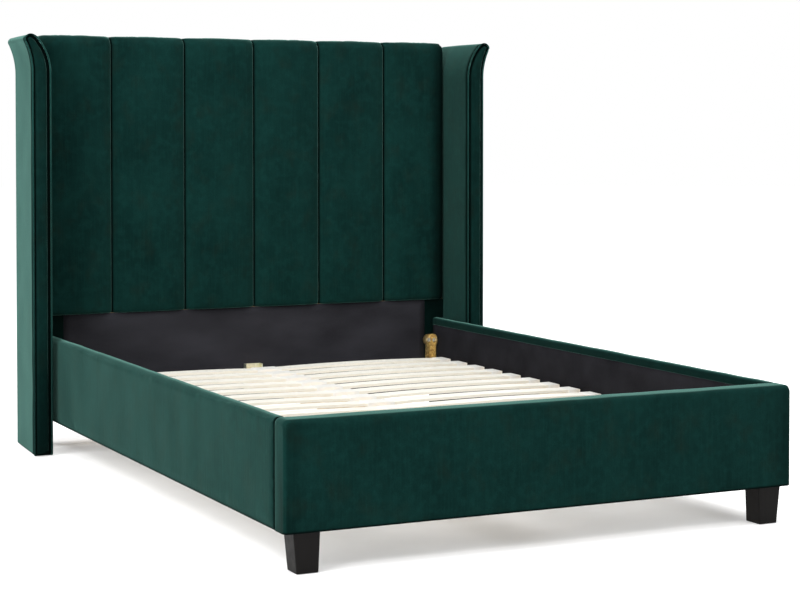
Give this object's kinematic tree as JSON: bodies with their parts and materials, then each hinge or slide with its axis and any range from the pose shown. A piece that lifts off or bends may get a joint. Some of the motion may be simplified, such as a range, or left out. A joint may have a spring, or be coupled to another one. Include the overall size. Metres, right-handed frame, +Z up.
{
  "type": "wingback bed frame",
  "caption": "Upholstered wingback bed frame with a channelled headboard, flared wings, padded side rails and footboard, and sprung slats on a centre beam.",
  "frame": {"origin": "on the floor, under the centre of the bed's bounding box", "axes": "+X to the right of someone who stands at the foot and looks at the headboard, +Y from the footboard to the headboard, +Z up"},
  "size_m": [1.6878, 2.1936, 1.369],
  "materials": {
    "velvet": "dark green crushed velvet",
    "piping": "dark green velvet piping",
    "lining": "black woven lining",
    "timber": "planed pine",
    "board": "engineered board",
    "bentwood": "pale birch bentwood",
    "white_plastic": "white moulded plastic",
    "black_plastic": "black moulded plastic",
    "leg": "black-brown lacquer",
    "black_steel": "black powder coat",
    "zinc": "bright zinc plate",
    "yellow_zinc": "yellow zinc plate"
  },
  "bodies": {
    "root": {"beam_hanger_foot": "zinc", "beam_hanger_head": "zinc", "bracket_bolts": "zinc", "centre_beam": "timber", "centre_leg_foot": "black_steel", "centre_leg_head": "black_steel", "foot_bracket_left": "yellow_zinc", "foot_bracket_right": "yellow_zinc", "footboard_core": "timber", "footboard_cover": "velvet", "footboard_lining": "lining", "front_leg_left": "leg", "front_leg_pads": "black_plastic", "front_leg_right": "leg", "head_bracket_left": "yellow_zinc", "head_bracket_right": "yellow_zinc", "headboard_board": "board", "headboard_bottom_rail": "timber", "headboard_channel_1": "velvet", "headboard_channel_2": "velvet", "headboard_channel_3": "velvet", "headboard_channel_4": "velvet", "headboard_channel_5": "velvet", "headboard_channel_6": "velvet", "headboard_lower_board": "board", "headboard_lower_lining": "lining", "headboard_middle_rail": "timber", "headboard_rear_lining": "lining", "headboard_side_strips": "velvet", "headboard_stile_left": "timber", "headboard_stile_right": "timber", "headboard_top_rail": "timber", "leg_bolts": "zinc", "leveller_foot": "black_plastic", "leveller_head": "black_plastic", "side_rail_board_left": "board", "side_rail_board_right": "board", "side_rail_cover_left": "velvet", "side_rail_cover_right": "velvet", "side_rail_lining_left": "lining", "side_rail_lining_right": "lining", "slat_caps_left": "white_plastic", "slat_caps_right": "white_plastic", "slat_clips": "white_plastic", "slat_ledger_left": "timber", "slat_ledger_right": "timber", "slats_left": "bentwood", "slats_right": "bentwood", "wing_board_left": "board", "wing_board_right": "board", "wing_bolts": "zinc", "wing_cover_left": "velvet", "wing_cover_right": "velvet", "wing_front_band_left": "velvet", "wing_front_band_right": "velvet", "wing_glides_left": "black_plastic", "wing_glides_right": "black_plastic", "wing_piping_left": "piping", "wing_piping_right": "piping", "wood_screws": "zinc"}
  },
  "joints": []
}
